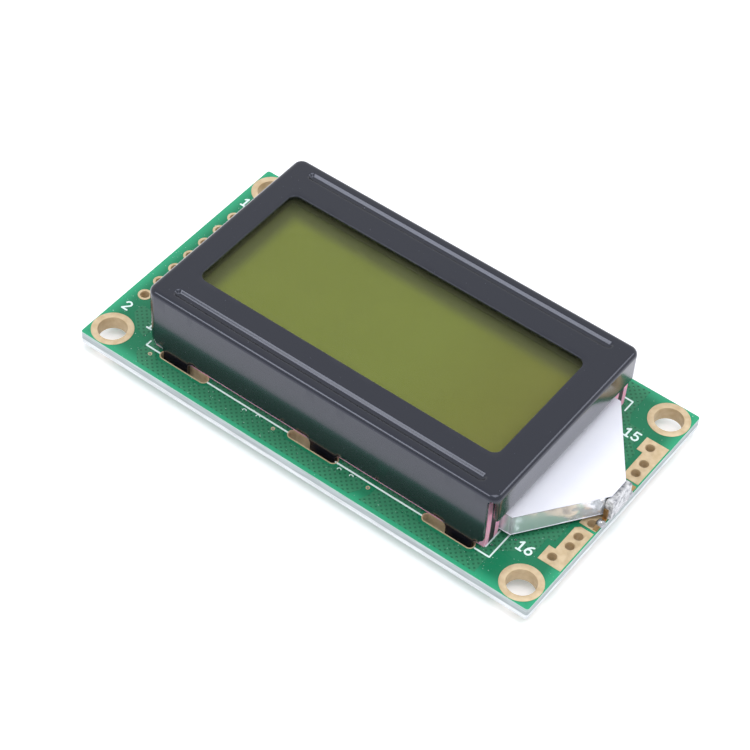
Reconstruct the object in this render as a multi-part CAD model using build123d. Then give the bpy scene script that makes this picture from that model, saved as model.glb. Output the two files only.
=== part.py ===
from build123d import *
import math
import os

# A side-lit character LCD module: a circuit board, a folded black bezel over the glass cell,
# contact strips along both long sides, and a light guide with its lamp at the right end.
# Millimetres. Origin: centre of the four mounting holes on the board's underside.
# +X runs along the board towards the lamp, +Y across it, +Z out of the display.

# Sides of the round outlines that nothing outside the module mates with
fine_sides = 24
ring_sides = 12
hidden_sides = 8

cut_past = 1.0                 # how far a cutting solid runs past the face it opens

# Circuit board
board_length = 58.0
board_width = 32.0
board_thickness = 1.6
board_corner_radius = 0.3
copper = 0.05                  # copper and gold standing proud of each face of the board
plating = 0.05                 # wall of every plated hole

# Mounting holes
mount_inset = 2.4              # hole centre from both board edges
mount_hole_diameter = 3.2
mount_pad_diameter = 4.64

# Header holes, two columns of seven at the left end
header_pitch = 2.54
header_count = 7
header_inset = 1.8             # outer column from the board's left end
header_hole_diameter = 1.0
header_pad_diameter = 1.56

# Folded bezel
sheet = 0.4
bezel_length = 44.6
bezel_width = 25.9
bezel_rise = 8.65              # top face above the board
bend_radius = 0.2              # inside of every fold
bezel_corner_radius = 1.1      # corners seen from above
window_border = 3.3            # window from each end of the bezel, before its shift
window_width = 16.0
window_shift_x = -0.2
window_shift_y = -0.15
window_corner_radius = 1.0
long_wall_inset = 0.75         # each end of a long wall from the bezel's end
long_wall_gap = 0.95           # long wall's lower edge above the board
long_wall_chamfer = 0.7
end_wall_inset = 0.9           # each side of an end wall from the bezel's side
end_wall_depth = 3.85          # end wall's lower edge below the top face
end_wall_corner = 0.6
corner_notch_depth = 0.8       # where the corner slits start, below the top face

# Pressed grooves that hold the glass down on the contact strips
groove_inset = 2.5             # groove's ends from the bezel's ends
groove_width = 1.1
groove_depth = 0.3
groove_slope = 35.0            # degrees from upright

# Tabs and their slots in the board
slot_length = 6.2
slot_width = 1.0
slot_inset = 5.1               # middle of the outer slots from the bezel's ends
slot_lip = 0.12                # bare metal around each slot
tab_width = 3.2
tab_fillet = 0.8               # hollow corners where the tab leaves the wall
tab_side_gap = 0.1             # tab to the inner side of its slot
tab_end_gap = 0.3              # tab to the nearer round end of its slot
tab_twist = 36.0               # degrees, below the board
tab_lug = 1.25                 # twisted length below the board
tab_ends = (-1, 1, 1)          # which end of its slot each tab stands at

# Contact strips
foam = 0.75
strip_core = 0.9
strip_end_gap = 0.9            # from the bezel's ends, before their shift
strip_wall_gap = 0.1
front_strip_shift = -0.15
back_strip_shift = 0.3

# Glass cell
glass = 1.1
glass_end_gap = 1.4            # glass from the bezel's ends
front_glass_margin = 0.05      # front glass inside the outer faces of the strips
rear_glass_gap = 0.5           # rear glass to the inner faces of the strips
seal_height = 0.05
seal_width = 1.0
seal_inset = 0.3
polariser = 0.2
polariser_overlap = 0.75       # polariser beyond the window's edge
plug_length = 3.2
plug_thickness = 0.35
plug_overlap = 0.72            # plug up and down the glasses' edges

# Light guide and films
film = 0.1
diffuser = 0.15
guide_side_gap = 0.3           # guide block to the contact strips
guide_left_inset = 2.1         # guide block from the bezel's left end
tail_start_inset = 1.3         # start of the tail inside the bezel's right end
tail_corner_reach = 0.2        # its shoulders beyond the bezel's right end
tail_end_inset = 0.7           # tip from the board's right edge
tail_tip_width = 3.2
tail_low = 0.5                 # tail's wrap above the board
tail_height = 2.9              # over the wrap
wrap_setback = 0.05            # wrap from the block's end face

# Lamp at the tip of the tail
lamp_gap = 0.1
lamp_depth = 0.9
lamp_width = 3.5
lamp_height = 2.7
lamp_low = 0.3                 # lamp above the board
lamp_bevel = 0.25
lead = 0.16                    # thickness of a lead
lead_width = 0.5
lead_foot = 1.9
lead_rise = 1.6
solder_radius = 0.62
solder_height = 0.55
solder_slope = 32.0            # degrees from upright

# Backlight pads at the right end
pad_edge_gap = 0.16            # pads from the board's right edge
pad_step_inset = 2.9           # outer step of each group from the board's right edge
pad_inner_inset = 2.15         # inner edge of each group from the board's right edge
pad_ring_gap = 1.18            # outer end of each group to the mounting ring
pad_foot = 2.05                # its wide foot, across the board
pad_group_inner = 4.1          # inner end of each group from the middle of the board
lamp_pad_outer = 3.75
lamp_pad_inner = 1.5
pad_corner = 0.45              # its cut corner beside the lamp pad
pad_hole_diameter = 1.0
pin_hole_inset = 1.85          # from the board's right edge
pin_hole_down = 1.05           # from the outer end of its group
link_holes = ((1.2, 6.85), (1.2, 5.3))   # inset from the right edge, distance from the middle
lamp_hole = (1.05, 3.05)

# Contact fingers on the board, under the strips
finger_count = 28
finger_pitch = 1.4
finger_width = 0.8
finger_inset = 0.25            # from both faces of the strip

# Underside
blob_diameter = 12.5
blob_height = 0.95
blob_curve = ((1, 0), (0.9, 0.45), (0.65, 0.83), (0, 1))   # shares of the radius and of the height
blob_x = -4.0
chip_length = 2.0
chip_width = 1.25
chip_height = 0.5
chip_bevel = 0.06
chip_pad_under = 0.5           # copper under each end of a chip
chip_solder = 0.35             # copper and solder beyond each end of a chip
chip_solder_rise = 0.4
resistor_places = ((9.0, 6.0), (9.0, 3.0), (9.0, 0.0), (9.0, -3.0), (9.0, -6.0),
                   (14.0, 6.0), (23.0, 0.0))
capacitor_place = (14.0, -6.0)

# Levels and half sizes worked out from the values above
board_top = board_thickness
pad_top = board_top + copper
half_length = board_length / 2
half_width = board_width / 2
mount_x = half_length - mount_inset
mount_y = half_width - mount_inset
bezel_top = board_top + bezel_rise
sheet_under = bezel_top - sheet
wall_outer = bezel_width / 2
wall_inner = wall_outer - sheet
window_length = bezel_length - 2 * window_border
long_wall_length = bezel_length - 2 * long_wall_inset
end_wall_width = bezel_width - 2 * end_wall_inset
groove_length = bezel_length - 2 * groove_inset
slot_pitch = bezel_length / 2 - slot_inset
strip_length = bezel_length - 2 * strip_end_gap
glass_length = bezel_length - 2 * glass_end_gap
long_wall_low = board_top + long_wall_gap
outer_bend = bend_radius + sheet
strip_outer = wall_inner - strip_wall_gap
strip_width = 2 * foam + strip_core
strip_inner = strip_outer - strip_width
strip_middle = (strip_outer + strip_inner) / 2
slot_y = wall_inner - tab_side_gap + slot_width / 2
front_glass_top = sheet_under - groove_depth
front_glass_low = front_glass_top - glass
rear_glass_top = front_glass_low - seal_height
rear_glass_low = rear_glass_top - glass
plug_low = rear_glass_top - plug_overlap
plug_top = front_glass_low + plug_overlap
rear_glass_width = 2 * (strip_inner - rear_glass_gap)
polariser_length = window_length + 2 * polariser_overlap
polariser_width = window_width + 2 * polariser_overlap
rear_polariser_low = rear_glass_low - polariser
diffuser_low = rear_polariser_low - diffuser
guide_low = board_top + film
guide_half = strip_inner - guide_side_gap
guide_left = -bezel_length / 2 + guide_left_inset
wrap_low = board_top + tail_low
wrap_top = wrap_low + tail_height
tail_start = bezel_length / 2 - tail_start_inset
tail_corner = bezel_length / 2 + tail_corner_reach
tail_end = half_length - tail_end_inset
lamp_left = tail_end + lamp_gap
pad_group_outer = mount_y - mount_pad_diameter / 2 - pad_ring_gap
pad_group_step = pad_group_outer - pad_foot
pin_hole = (pin_hole_inset, pad_group_outer - pin_hole_down)


def slab(sketch, low, high):
    """The sketch as a plate between two heights."""
    return Pos(0, 0, low) * extrude(sketch, amount=high - low)


def block(corner, opposite):
    """A box between two opposite corners, in either order."""
    size = [abs(b - a) for a, b in zip(corner, opposite)]
    middle = [(a + b) / 2 for a, b in zip(corner, opposite)]
    return Pos(*middle) * Box(*size)


def outline(points):
    """A flat face inside a closed run of points."""
    return make_face(Polyline(*points, close=True))


def disc(diameter, sides):
    return RegularPolygon(diameter / 2, sides)


def round_slot(length, width):
    """A slot outline whose half-round ends have few sides."""
    ends = [Pos(end * (length - width) / 2) * disc(width, hidden_sides) for end in (-1, 1)]
    return Rectangle(length - width, width) + ends


def slots():
    """Each tab slot: its place and which end of it the tab stands at."""
    for side in (-1, 1):
        for index, end in zip((-1, 0, 1), tab_ends):
            yield index * slot_pitch, side * slot_y, side, end


def header_column(column):
    """Hole centres of one header column, 0 the outer and 1 the inner."""
    x = -half_length + header_inset + column * header_pitch
    first = -(header_count - 1) / 2 * header_pitch
    return [(x, first + header_pitch * i) for i in range(header_count)]


def right_end_holes(side):
    """Plated holes beside the lamp: the pin hole, the link holes and the lamp pad's hole."""
    return [(half_length - inset, side * y) for inset, y in (pin_hole, *link_holes, lamp_hole)]


def circuit_board():
    plate = slab(RectangleRounded(board_length, board_width, board_corner_radius), 0, board_top)
    cut = Sketch()
    for x in (-mount_x, mount_x):
        for y in (-mount_y, mount_y):
            cut += Pos(x, y) * drill(mount_hole_diameter, fine_sides)
    for place in header_column(0) + header_column(1):
        cut += Pos(*place) * drill(header_hole_diameter, hidden_sides)
    for side in (-1, 1):
        for place in right_end_holes(side):
            cut += Pos(*place) * drill(pad_hole_diameter, hidden_sides)
    for x, y, side, end in slots():
        cut += Pos(x, y) * round_slot(slot_length + 2 * plating, slot_width + 2 * plating)
    return plate - slab(cut, -cut_past, board_top + cut_past)


def drill(diameter, sides):
    """The drilled hole under the plating of a finished one, its flats clear of the finished wall."""
    return disc((diameter + 2 * plating) / math.cos(math.pi / sides), sides)


def plated_hole(x, y, pad, barrel, hole):
    """Pads on both faces joined by a barrel through the board; the three are sketches."""
    middle = Pos(x, y)
    rings = [slab(middle * (pad - hole), low, low + copper) for low in (-copper, board_top)]
    return slab(middle * (barrel - hole), 0, board_top) + rings


def mount_ring(x, y):
    pad = disc(mount_pad_diameter, fine_sides)
    return plated_hole(x, y, pad, drill(mount_hole_diameter, fine_sides), Circle(mount_hole_diameter / 2))


def header_plating(column):
    pad = disc(header_pad_diameter, ring_sides)
    barrel = drill(header_hole_diameter, hidden_sides)
    hole = Circle(header_hole_diameter / 2)
    return Compound(children=[plated_hole(x, y, pad, barrel, hole) for x, y in header_column(column)])


def slot_lining(x, y):
    pad = round_slot(slot_length + 2 * slot_lip, slot_width + 2 * slot_lip)
    barrel = round_slot(slot_length + 2 * plating, slot_width + 2 * plating)
    return plated_hole(x, y, pad, barrel, round_slot(slot_length, slot_width))


def backlight_pad(side):
    """A wide foot beside the pin hole and a strip of link holes."""
    right = half_length - pad_edge_gap
    step = half_length - pad_step_inset
    inner = half_length - pad_inner_inset
    face = outline([(right, pad_group_outer), (step, pad_group_outer), (step, pad_group_step),
                    (inner, pad_group_step), (inner, pad_group_inner), (right, pad_group_inner)])
    corner = face.vertices().sort_by_distance((inner, pad_group_inner, 0))[0]
    face = chamfer(corner, pad_corner)
    if side < 0:
        face = mirror(face, about=Plane.XZ)
    pin, *links, lamp_place = right_end_holes(side)
    outlines = [Circle(pad_hole_diameter / 2)] + [disc(pad_hole_diameter, hidden_sides)] * len(links)
    return with_barrels(face, list(zip([pin, *links], outlines)))


def with_barrels(face, holes):
    """A pad outline on both faces of the board, with plated holes given as places and outlines."""
    drilled, pipes = face, Sketch()
    for place, hole in holes:
        drilled -= Pos(*place) * hole
        pipes += Pos(*place) * (drill(pad_hole_diameter, hidden_sides) - hole)
    return slab(pipes, 0, board_top) + [slab(drilled, low, low + copper) for low in (-copper, board_top)]


def lamp_pad(side):
    right = half_length - pad_edge_gap
    inner = half_length - pad_inner_inset
    near, far = side * lamp_pad_inner, side * lamp_pad_outer
    face = outline([(inner, near), (right, near), (right, far), (inner, far)])
    return with_barrels(face, [(right_end_holes(side)[-1], disc(pad_hole_diameter, hidden_sides))])


def contact_fingers(side):
    row = []
    for i in range(finger_count):
        x = (i - (finger_count - 1) / 2) * finger_pitch
        near, far = side * (strip_inner + finger_inset), side * (strip_outer - finger_inset)
        row.append(block((x - finger_width / 2, near, board_top), (x + finger_width / 2, far, pad_top)))
    return Compound(children=row)


def bezel_shell():
    """The pressed cup before its corners and walls are trimmed."""
    height = bezel_rise + tab_lug
    outer = slab(RectangleRounded(bezel_length, bezel_width, bezel_corner_radius),
                 bezel_top - height, bezel_top)
    inner = slab(RectangleRounded(bezel_length - 2 * sheet, bezel_width - 2 * sheet,
                                  bezel_corner_radius - sheet), bezel_top - height, sheet_under)
    outer = fillet(outer.faces().sort_by(Axis.Z)[-1].edges(), outer_bend)
    inner = chamfer(inner.faces().sort_by(Axis.Z)[-1].edges(), bend_radius)
    return outer - inner


def wall_trim():
    """What is cut off the cup: corner notches, and everything under the four walls."""
    reach = bezel_length
    notch_top = bezel_top - corner_notch_depth
    low = bezel_top - 2 * bezel_rise
    long_wall = Rectangle(long_wall_length, bezel_top - long_wall_low)
    long_wall = chamfer(long_wall.vertices().group_by(Axis.Y)[0], long_wall_chamfer)
    end_wall = Rectangle(end_wall_width, end_wall_depth)
    end_wall = chamfer(end_wall.vertices().group_by(Axis.Y)[0], end_wall_corner)
    keep_long = Pos(0, 0, (bezel_top + long_wall_low) / 2) * Rot(90, 0, 0) * extrude(
        long_wall, amount=bezel_width, both=True)
    keep_end = Pos(0, 0, bezel_top - end_wall_depth / 2) * Rot(0, 0, 90) * Rot(90, 0, 0) * extrude(
        end_wall, amount=reach, both=True)
    keep_end -= block((-long_wall_length / 2, -reach, low), (long_wall_length / 2, reach, bezel_top))
    below = block((-reach, -reach, low), (reach, reach, notch_top))
    return below - keep_long - keep_end


def groove(side, top, outline_face):
    """One pressed groove, as a tapered slot sunk from the given height."""
    return Pos(0, side * strip_middle, top) * extrude(outline_face, amount=-groove_depth, taper=groove_slope)


def twisted_lug():
    """The end of a tab, turned under the board so that it can't pull out; flat triangles keep it light."""
    corners = [(x * tab_width / 2, y * sheet / 2) for x, y in ((-1, -1), (1, -1), (1, 1), (-1, 1))]
    top = [Vector(x, y, 0) for x, y in corners]
    low = [Vector(x, y, 0).rotate(Axis.Z, tab_twist) - Vector(0, 0, tab_lug) for x, y in corners]
    faces = [outline(top), outline(low)]
    for i in range(4):
        j = (i + 1) % 4
        faces += [outline([top[i], top[j], low[j]]), outline([top[i], low[j], low[i]])]
    return Solid(Shell([f.face() for f in faces]))


def tab(x, side):
    """A tab from the long wall's edge through the board, its lug twisted under the board."""
    foot = tab_width / 2 + tab_fillet
    face = Pos(0, long_wall_low - tab_fillet / 2) * Rectangle(2 * foot, tab_fillet)
    for end in (-1, 1):
        face -= Pos(end * foot, long_wall_low - tab_fillet) * Circle(tab_fillet)
    face += Pos(0, long_wall_low / 2) * Rectangle(tab_width, long_wall_low)
    place = Pos(x, side * (wall_outer - sheet / 2))
    stem = place * Rot(90, 0, 0) * extrude(face, amount=sheet / 2, both=True)
    return stem + place * twisted_lug()


def bezel():
    shell = bezel_shell() - wall_trim()
    window = Pos(window_shift_x, window_shift_y) * RectangleRounded(
        window_length, window_width, window_corner_radius)
    shell -= slab(window, sheet_under - cut_past, bezel_top + cut_past)
    for side in (-1, 1):
        shell += groove(side, sheet_under, round_slot(groove_length + sheet, groove_width + sheet))
        shell -= groove(side, bezel_top, SlotOverall(groove_length, groove_width))
    for x, y, side, end in slots():
        shift = end * ((slot_length - tab_width) / 2 - tab_end_gap)
        shell += tab(x + shift, side)
    return shell


def strip_layer(side, inner, outer):
    """One layer of a contact strip, between two distances from the middle."""
    middle = front_strip_shift if side < 0 else back_strip_shift
    left, right = middle - strip_length / 2, middle + strip_length / 2
    return block((left, side * inner, pad_top), (right, side * outer, front_glass_low))


def plate(length, width, low, high, shift_x=0.0, shift_y=0.0):
    return slab(Pos(shift_x, shift_y) * Rectangle(length, width), low, high)


def cell_seal():
    outer = Rectangle(glass_length - 2 * seal_inset, rear_glass_width - 2 * seal_inset)
    inner = Rectangle(glass_length - 2 * seal_inset - 2 * seal_width,
                      rear_glass_width - 2 * seal_inset - 2 * seal_width)
    return slab(outer - inner, rear_glass_top, front_glass_low)


def fill_plug():
    """The dab of resin that closes the cell, on the left edges of the glass."""
    end, half = -glass_length / 2, plug_length / 2
    tip = half - plug_thickness
    face = outline([(end, -half), (end, half), (end - plug_thickness, tip), (end - plug_thickness, -tip)])
    return slab(face, plug_low, plug_top)


def tail_points(grow, left, right):
    """Outline of the guide's tail between two lengths, grown outwards by the film."""
    half = guide_half + grow
    tip = tail_tip_width / 2 + grow
    lower = [(left, -half), (tail_corner, -half), (right, -tip)]
    return lower + [(x, -y) for x, y in reversed(lower)]


def light_guide():
    body = block((guide_left, -guide_half, guide_low), (tail_start, guide_half, diffuser_low))
    tail = outline(tail_points(0, tail_start, tail_end))
    return body + slab(tail, wrap_low + film, wrap_top - film)


def reflector_wrap():
    """White film folded round the tail: over, under and along its sides, open at the tip."""
    left = tail_start + wrap_setback
    outer = outline(tail_points(film, left, tail_end))
    inner = outline(tail_points(0, left - cut_past, tail_end + cut_past))
    inside = slab(inner, wrap_low + film, wrap_top - film)
    return slab(outer, wrap_low, wrap_top) - inside


def lamp():
    body = block((lamp_left, -lamp_width / 2, board_top + lamp_low),
                 (lamp_left + lamp_depth, lamp_width / 2, board_top + lamp_low + lamp_height))
    return chamfer(body.edges().filter_by(Axis.X), lamp_bevel)


def lamp_lead(side):
    """A bent strip: up the end of the lamp and out along its pad."""
    x = lamp_left
    wall = side * lamp_width / 2
    corner = (x, wall, pad_top)
    upright = block(corner, (x + lead_width, wall + side * lead, pad_top + lead_rise))
    return upright + block(corner, (x + lead_width, wall + side * lead_foot, pad_top + lead))


def lead_solder(side):
    """A lump of solder over the lead's foot."""
    place = Pos(lamp_left + lead_width / 2, side * (lamp_width / 2 + lead + solder_radius), pad_top)
    lump = extrude(disc(2 * solder_radius, hidden_sides), amount=solder_height, taper=solder_slope)
    return place * lump - lamp_lead(side)


def controller_blob():
    """Black resin dome over the bare controller die."""
    run = [(blob_diameter / 2 * out, 0, -blob_height * down) for out, down in blob_curve]
    return Pos(blob_x, 0) * revolve(outline([(0, 0, 0), *run]), axis=Axis.Z)


def chip(place):
    x, y = place
    body = block((x - chip_length / 2, y - chip_width / 2, -copper - chip_height),
                 (x + chip_length / 2, y + chip_width / 2, -copper))
    return chamfer(body.edges().filter_by(Axis.Y), chip_bevel)


def chip_pads():
    """Copper under every chip with its solder wedge at both ends."""
    wedges = []
    for x, y in (*resistor_places, capacitor_place):
        for end in (-1, 1):
            face = x + end * chip_length / 2
            pad = block((face - end * chip_pad_under, y - chip_width / 2, -copper),
                        (face + end * chip_solder, y + chip_width / 2, 0))
            profile = outline([(0, 0), (end * chip_solder, 0), (0, -chip_solder_rise)])
            wedge = Rot(90, 0, 0) * extrude(profile, amount=chip_width / 2, both=True)
            wedges.append(pad + Pos(face, y, -copper) * wedge)
    return Compound(children=wedges)


def side_name(side):
    return "front" if side < 0 else "back"


def nodes():
    """Every piece of the module with its name."""
    yield "circuit_board", circuit_board()
    for side in (-1, 1):
        for end, word in ((-1, "left"), (1, "right")):
            yield f"mount_ring_{side_name(side)}_{word}", mount_ring(end * mount_x, side * mount_y)
    yield "header_plating_outer", header_plating(0)
    yield "header_plating_inner", header_plating(1)
    for number, (x, y, side, end) in enumerate(slots()):
        yield f"slot_lining_{side_name(side)}_{number % 3 + 1}", slot_lining(x, y)
    for side in (-1, 1):
        word = side_name(side)
        yield f"backlight_pad_{word}", backlight_pad(side)
        yield f"lamp_pad_{word}", lamp_pad(side)
        yield f"contact_fingers_{word}", contact_fingers(side)
        yield f"strip_foam_outer_{word}", strip_layer(side, strip_outer - foam, strip_outer)
        yield f"strip_core_{word}", strip_layer(side, strip_inner + foam, strip_outer - foam)
        yield f"strip_foam_inner_{word}", strip_layer(side, strip_inner, strip_inner + foam)
        yield f"lamp_lead_{word}", lamp_lead(side)
        yield f"lamp_solder_{word}", lead_solder(side)
    yield "bezel", bezel()
    yield "front_polariser", plate(polariser_length, polariser_width, front_glass_top,
                                   front_glass_top + polariser, window_shift_x, window_shift_y)
    yield "front_glass", plate(glass_length, 2 * (strip_outer - front_glass_margin),
                               front_glass_low, front_glass_top)
    yield "cell_seal", cell_seal()
    yield "rear_glass", plate(glass_length, rear_glass_width, rear_glass_low, rear_glass_top)
    yield "fill_plug", fill_plug()
    yield "rear_polariser", plate(polariser_length, polariser_width, rear_polariser_low,
                                  rear_glass_low, window_shift_x, window_shift_y)
    yield "diffuser_film", plate(polariser_length, polariser_width, diffuser_low,
                                 rear_polariser_low, window_shift_x, window_shift_y)
    yield "light_guide", light_guide()
    yield "base_reflector", block((guide_left, -guide_half, board_top), (tail_start, guide_half, guide_low))
    yield "reflector_wrap", reflector_wrap()
    yield "lamp", lamp()
    yield "controller_blob", controller_blob()
    for number, place in enumerate(resistor_places, 1):
        yield f"chip_resistor_{number}", chip(place)
    yield "chip_capacitor", chip(capacitor_place)
    yield "chip_pads", chip_pads()


os.makedirs("parts", exist_ok=True)
for name, piece in nodes():
    export_step(piece, f"parts/{name}.step")
    print(name, round(piece.volume, 3))
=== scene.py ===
import math

import bmesh
import bpy
from mathutils import Matrix, Vector, noise


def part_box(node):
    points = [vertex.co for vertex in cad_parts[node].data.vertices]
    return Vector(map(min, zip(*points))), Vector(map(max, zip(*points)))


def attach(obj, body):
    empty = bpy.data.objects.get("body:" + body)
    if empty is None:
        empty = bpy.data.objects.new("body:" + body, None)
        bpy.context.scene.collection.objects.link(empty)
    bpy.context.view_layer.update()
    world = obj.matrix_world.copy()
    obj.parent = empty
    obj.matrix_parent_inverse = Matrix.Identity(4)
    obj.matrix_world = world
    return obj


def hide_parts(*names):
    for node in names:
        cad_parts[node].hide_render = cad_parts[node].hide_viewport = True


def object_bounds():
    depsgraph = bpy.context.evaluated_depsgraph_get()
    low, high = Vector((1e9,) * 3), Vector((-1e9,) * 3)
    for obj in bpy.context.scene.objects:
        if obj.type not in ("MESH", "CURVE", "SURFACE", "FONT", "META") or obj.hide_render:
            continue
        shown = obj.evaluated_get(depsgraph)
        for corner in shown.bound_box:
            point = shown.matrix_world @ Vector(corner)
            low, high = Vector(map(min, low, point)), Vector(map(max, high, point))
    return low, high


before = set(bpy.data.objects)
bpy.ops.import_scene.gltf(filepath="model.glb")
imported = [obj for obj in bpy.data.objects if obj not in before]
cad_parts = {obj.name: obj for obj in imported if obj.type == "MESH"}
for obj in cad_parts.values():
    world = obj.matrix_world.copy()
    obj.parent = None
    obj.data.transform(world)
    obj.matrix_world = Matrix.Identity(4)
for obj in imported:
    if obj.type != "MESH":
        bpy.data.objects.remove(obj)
cadLow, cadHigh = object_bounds()
mm = 0.001
print("frame loaded:", len(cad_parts), "nodes")


# small helpers

def linear(code):
    # "#RRGGBB" as sRGB to linear RGBA
    parts = [int(code[i:i + 2], 16) / 255 for i in (1, 3, 5)]
    return (*[c / 12.92 if c <= 0.04045 else ((c + 0.055) / 1.055) ** 2.4 for c in parts], 1.0)


def addNode(tree, kind, settings=None, links=None):
    # settings go to the socket of that name or number, or else to the node itself
    node = tree.nodes.new("ShaderNode" + kind)
    for name, value in (settings or {}).items():
        if isinstance(name, int) or name in node.inputs:
            node.inputs[name].default_value = value
        else:
            setattr(node, name, value)
    for name, source in (links or {}).items():
        tree.links.new(source, node.inputs[name])
    return node


def newMaterial(name):
    material = bpy.data.materials.new(name)
    material.use_nodes = True
    tree = material.node_tree
    tree.nodes.clear()
    shader = addNode(tree, "BsdfPrincipled")
    addNode(tree, "OutputMaterial", {}, {"Surface": shader.outputs[0]})
    place = addNode(tree, "TexCoord")
    inMm = addNode(tree, "VectorMath", {"operation": "SCALE", "Scale": 1000.0}, {0: place.outputs["Object"]})
    return material, tree, shader, inMm.outputs[0]


def boxMm(node):
    low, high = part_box(node)
    return [v / mm for v in low], [v / mm for v in high]


def newShape():
    return {"points": [], "faces": [], "marks": []}


def gather(shape, points, faces, mark=0):
    first = len(shape["points"])
    shape["points"] += [tuple(p) for p in points]
    shape["faces"] += [[first + i for i in face] for face in faces]
    shape["marks"] += [mark] * len(faces)


def addPiece(name, shape, materials, stands=(), smooth=38.0):
    # points come in millimetres, the mesh is in metres
    mesh = bpy.data.meshes.new(name)
    mesh.from_pydata([[c * mm for c in p] for p in shape["points"]], [], shape["faces"])
    for face, mark in zip(mesh.polygons, shape["marks"]):
        face.material_index = mark
    work = bmesh.new()
    work.from_mesh(mesh)
    bmesh.ops.remove_doubles(work, verts=work.verts, dist=1e-7)
    bmesh.ops.recalc_face_normals(work, faces=work.faces)
    work.to_mesh(mesh)
    work.free()
    mesh.shade_smooth()
    mesh.set_sharp_from_angle(angle=math.radians(smooth))
    for material in materials:
        mesh.materials.append(material)
    piece = bpy.data.objects.new(name, mesh)
    bpy.context.collection.objects.link(piece)
    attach(piece, "root")
    # flat faces stay flat beside their soft edges
    even = piece.modifiers.new("evenShading", "WEIGHTED_NORMAL")
    even.keep_sharp = True
    if stands:
        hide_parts(*stands)
    return piece


def arc(middle, radius, start, end, steps):
    turns = [math.radians(start + (end - start) * i / steps) for i in range(steps + 1)]
    return [(middle[0] + radius * math.cos(t), middle[1] + radius * math.sin(t)) for t in turns]


def circlePath(middle, diameter, steps=48):
    return arc(middle, diameter / 2, 0, 360, steps)[:-1]


def slotPath(middle, length, width, steps=12):
    reach = (length - width) / 2
    right = arc((middle[0] + reach, middle[1]), width / 2, -90, 90, steps)
    left = arc((middle[0] - reach, middle[1]), width / 2, 90, 270, steps)
    return right + left


def roundedRectangle(low, high, radius, steps=6):
    corners = ((high[0], low[1], -90), (high[0], high[1], 0), (low[0], high[1], 90), (low[0], low[1], 180))
    path = []
    for x, y, start in corners:
        middle = (x - math.copysign(radius, x - (low[0] + high[0]) / 2),
                  y - math.copysign(radius, y - (low[1] + high[1]) / 2))
        path += arc(middle, radius, start, start + 90, steps)
    return path


def flatPlate(shape, loops, low, high, edge=0.0, mark=0, sideMark=None):
    # a plate with holes between two heights, its edges rounded by edge
    curve = bpy.data.curves.new("outline", "CURVE")
    curve.dimensions = "2D"
    curve.fill_mode = "BOTH"
    curve.extrude = (high - low) / 2 - edge
    curve.bevel_depth = edge
    curve.bevel_resolution = 1
    curve.offset = -edge
    for loop in loops:
        spline = curve.splines.new("POLY")
        spline.points.add(len(loop) - 1)
        for point, (x, y) in zip(spline.points, loop):
            point.co = (x, y, 0, 1)
        spline.use_cyclic_u = True
    carrier = bpy.data.objects.new("outline", curve)
    mesh = bpy.data.meshes.new_from_object(carrier)
    points = [(v.co.x, v.co.y, v.co.z + (low + high) / 2) for v in mesh.vertices]
    for face in mesh.polygons:
        side = abs(face.normal.z) < 0.5
        gather(shape, [points[i] for i in face.vertices], [range(len(face.vertices))],
               sideMark if side and sideMark is not None else mark)
    bpy.data.objects.remove(carrier)
    bpy.data.curves.remove(curve)
    bpy.data.meshes.remove(mesh)


def sweepRim(shape, path, profile, mark=0):
    # a closed (offset, height) profile carried round a closed path, offsets outwards
    count = len(path)
    points = []
    for i, (x, y) in enumerate(path):
        before, after = Vector(path[i - 1]), Vector(path[(i + 1) % count])
        along = (after - before).normalized()
        points += [(x + along.y * out, y - along.x * out, z) for out, z in profile]
    size = len(profile)
    faces = [[i * size + j, i * size + (j + 1) % size,
              (i + 1) % count * size + (j + 1) % size, (i + 1) % count * size + j]
             for i in range(count) for j in range(size)]
    gather(shape, points, faces, mark)


def lathe(shape, middle, run, steps=48, mark=0):
    # a run of (radius, height) turned about the upright through middle; a radius of 0 closes it
    points = []
    rings = []
    for radius, z in run:
        if radius == 0:
            rings.append([len(points)] * steps)
            points.append((middle[0], middle[1], z))
        else:
            rings.append(list(range(len(points), len(points) + steps)))
            points += [(x, y, z) for x, y in circlePath(middle, 2 * radius, steps)]
    faces = []
    for low, high in zip(rings, rings[1:]):
        for i in range(steps):
            j = (i + 1) % steps
            face = list(dict.fromkeys([low[i], low[j], high[j], high[i]]))
            if len(face) > 2:
                faces.append(face)
    gather(shape, points, faces, mark)


# camera, matched to the photograph: angles in degrees, lengths in mm
camera = {
    "azimuth": 33.8,       # to the right of the front
    "elevation": 48.549,
    "roll": 4.261,
    "target": (-1.784, 0.151, 0.0),
    "distance": 259.486,
    "lens": 116.96,
    "nearest": 0.01,       # metres, closer than any part of the object
}
azimuth, elevation, roll = (math.radians(camera[k]) for k in ("azimuth", "elevation", "roll"))
back = Vector((math.sin(azimuth) * math.cos(elevation), -math.cos(azimuth) * math.cos(elevation),
               math.sin(elevation)))
level = Vector((0, 0, 1)).cross(back).normalized()
upright = back.cross(level)
right = math.cos(roll) * level + math.sin(roll) * upright
upwards = math.cos(roll) * upright - math.sin(roll) * level
cameraData = bpy.data.cameras.new("camera")
cameraData.lens = camera["lens"]
cameraData.clip_start = camera["nearest"]
cameraObject = bpy.data.objects.new("camera", cameraData)
bpy.context.collection.objects.link(cameraObject)
pose = Matrix((right, upwards, back)).transposed().to_4x4()
pose.translation = (Vector(camera["target"]) + back * camera["distance"]) * mm
cameraObject.matrix_world = pose
bpy.context.scene.camera = cameraObject
bpy.context.scene.view_settings.view_transform = "Standard"


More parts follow.
